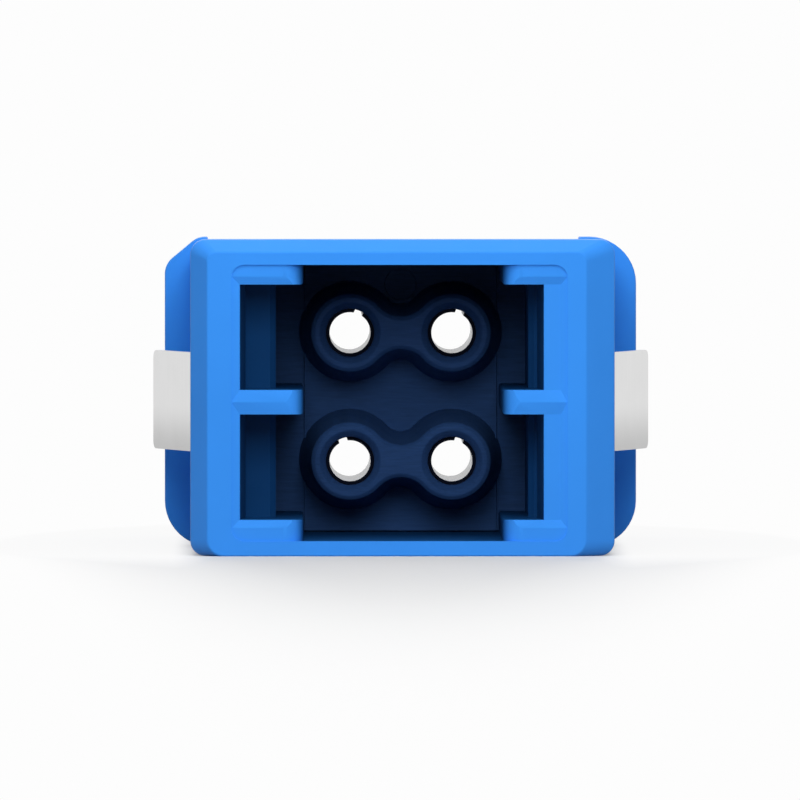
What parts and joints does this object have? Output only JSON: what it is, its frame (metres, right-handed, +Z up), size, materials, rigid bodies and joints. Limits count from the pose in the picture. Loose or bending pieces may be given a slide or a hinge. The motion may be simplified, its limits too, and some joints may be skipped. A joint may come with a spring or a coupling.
{
  "type": "fibre optic adapter",
  "caption": "Blue panel-mount fibre optic adapter joining very small stacked duplex plugs through ceramic split sleeves, held by a sprung steel clip.",
  "frame": {"origin": "centre of the bounding box at its underside, which is on the weld plane between the two halves", "axes": "+Z up, +Y from the front face through to the rear face, +X to the right when the front face is looked at"},
  "size_m": [0.0152, 0.024, 0.0095],
  "materials": {
    "housing_plastic": "satin moulded",
    "holder_plastic": "satin moulded",
    "zirconia": "polished",
    "stainless_steel": "satin rolled"
  },
  "bodies": {
    "root": {"housing_front": "housing_plastic", "housing_rear": "housing_plastic", "sleeve_holder_front": "holder_plastic", "sleeve_holder_rear": "holder_plastic", "split_sleeve_top_left": "zirconia", "split_sleeve_top_right": "zirconia", "split_sleeve_bottom_left": "zirconia", "split_sleeve_bottom_right": "zirconia", "panel_clip": "stainless_steel"}
  },
  "joints": []
}
